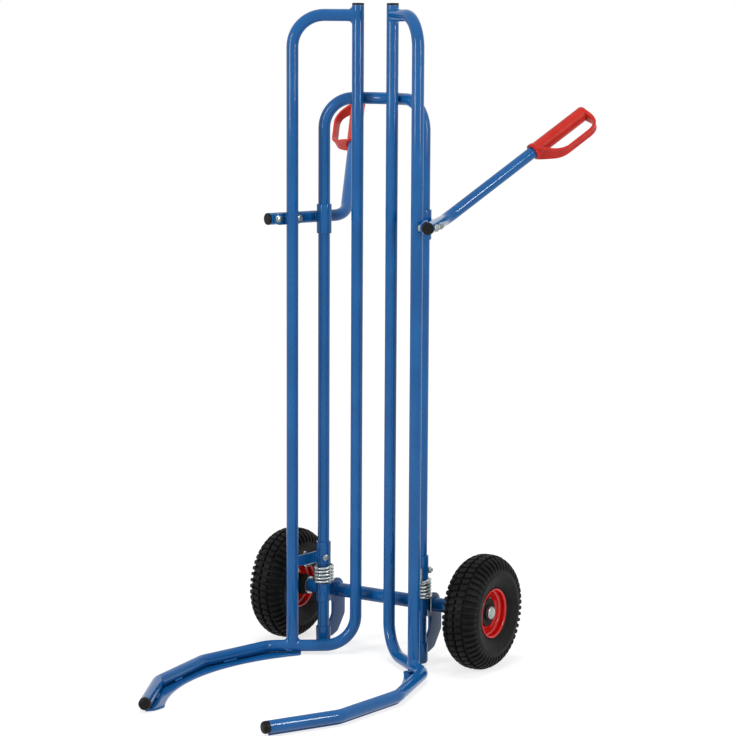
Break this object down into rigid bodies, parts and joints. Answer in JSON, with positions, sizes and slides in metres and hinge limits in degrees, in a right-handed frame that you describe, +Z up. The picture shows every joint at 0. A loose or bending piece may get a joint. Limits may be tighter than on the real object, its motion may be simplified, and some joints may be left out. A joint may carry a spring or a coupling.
{
  "type": "tyre hand truck",
  "caption": "Upright tyre hand truck of bent blue tube on air-filled wheels: sprung cradle arms with low forks swing open when the guarded handles are squeezed together.",
  "frame": {"origin": "on the floor, under the middle of the truck's overall box", "axes": "+Z up along the uprights, +X across the truck along the axle, forks towards -Y, handles towards +Y"},
  "size_m": [0.701, 1.0806, 1.475],
  "materials": {
    "blue_paint": "glossy blue powder coat",
    "red_paint": "glossy red paint on pressed steel",
    "red_plastic": "satin red moulded plastic",
    "black_plastic": "matt black moulded plastic",
    "zinc_plate": "bright zinc plate",
    "spring_steel": "zinc-plated spring wire",
    "tyre_rubber": "black block-tread rubber",
    "valve_rubber": "black rubber valve stem"
  },
  "bodies": {
    "frame": {"rear_hoop": "blue_paint", "axle_tube": "blue_paint", "axle_shaft": "zinc_plate", "left_foot_cap": "blue_paint", "left_spring_collar": "blue_paint", "left_hanger_plate": "blue_paint", "left_inner_washer": "zinc_plate", "left_outer_washer": "zinc_plate", "left_axle_cap": "zinc_plate", "left_spring": "spring_steel", "right_foot_cap": "blue_paint", "right_spring_collar": "blue_paint", "right_hanger_plate": "blue_paint", "right_inner_washer": "zinc_plate", "right_outer_washer": "zinc_plate", "right_axle_cap": "zinc_plate", "right_spring": "spring_steel"},
    "left_arm": {"left_cradle_tube": "blue_paint", "left_outer_upright": "blue_paint", "left_fork_plate": "blue_paint", "left_top_cap": "black_plastic", "left_fork_cap": "black_plastic", "left_handle_cap": "black_plastic", "left_upper_sleeve": "blue_paint", "left_sleeve_lug": "blue_paint", "left_lower_sleeve": "blue_paint", "left_lower_bracket": "blue_paint", "left_stop_bolt": "zinc_plate", "left_handle_tube": "blue_paint", "left_handle_plate": "blue_paint", "left_handle_bolts": "zinc_plate", "left_grip": "red_plastic"},
    "right_arm": {"right_cradle_tube": "blue_paint", "right_outer_upright": "blue_paint", "right_fork_plate": "blue_paint", "right_top_cap": "black_plastic", "right_fork_cap": "black_plastic", "right_handle_cap": "black_plastic", "right_upper_sleeve": "blue_paint", "right_sleeve_lug": "blue_paint", "right_lower_sleeve": "blue_paint", "right_lower_bracket": "blue_paint", "right_stop_bolt": "zinc_plate", "right_handle_tube": "blue_paint", "right_handle_plate": "blue_paint", "right_handle_bolts": "zinc_plate", "right_grip": "red_plastic"},
    "left_wheel": {"left_tyre": "tyre_rubber", "left_rim_outer": "red_paint", "left_rim_inner": "red_paint", "left_hub": "black_plastic", "left_rim_bolts": "zinc_plate", "left_valve": "valve_rubber"},
    "right_wheel": {"right_tyre": "tyre_rubber", "right_rim_outer": "red_paint", "right_rim_inner": "red_paint", "right_hub": "black_plastic", "right_rim_bolts": "zinc_plate", "right_valve": "valve_rubber"}
  },
  "joints": [
    {"name": "left_arm_swing", "type": "hinge", "parent": "frame", "child": "left_arm", "pos_m": [-0.131, 0.11387, 0.225], "axis": [0, 0, -1], "range_deg": [0, 28], "stiffness_Nm_per_rad": 8, "springref_deg": -20.05, "deforming": ["left_spring"]},
    {"name": "right_arm_swing", "type": "hinge", "parent": "frame", "child": "right_arm", "pos_m": [0.131, 0.11387, 0.225], "axis": [0, 0, 1], "range_deg": [0, 28], "stiffness_Nm_per_rad": 8, "springref_deg": -20.05, "deforming": ["right_spring"]},
    {"name": "left_wheel_spin", "type": "hinge", "parent": "frame", "child": "left_wheel", "pos_m": [-0.259, 0.16837, 0.13], "axis": [1, 0, 0], "continuous": true},
    {"name": "right_wheel_spin", "type": "hinge", "parent": "frame", "child": "right_wheel", "pos_m": [0.259, 0.16837, 0.13], "axis": [1, 0, 0], "continuous": true}
  ]
}
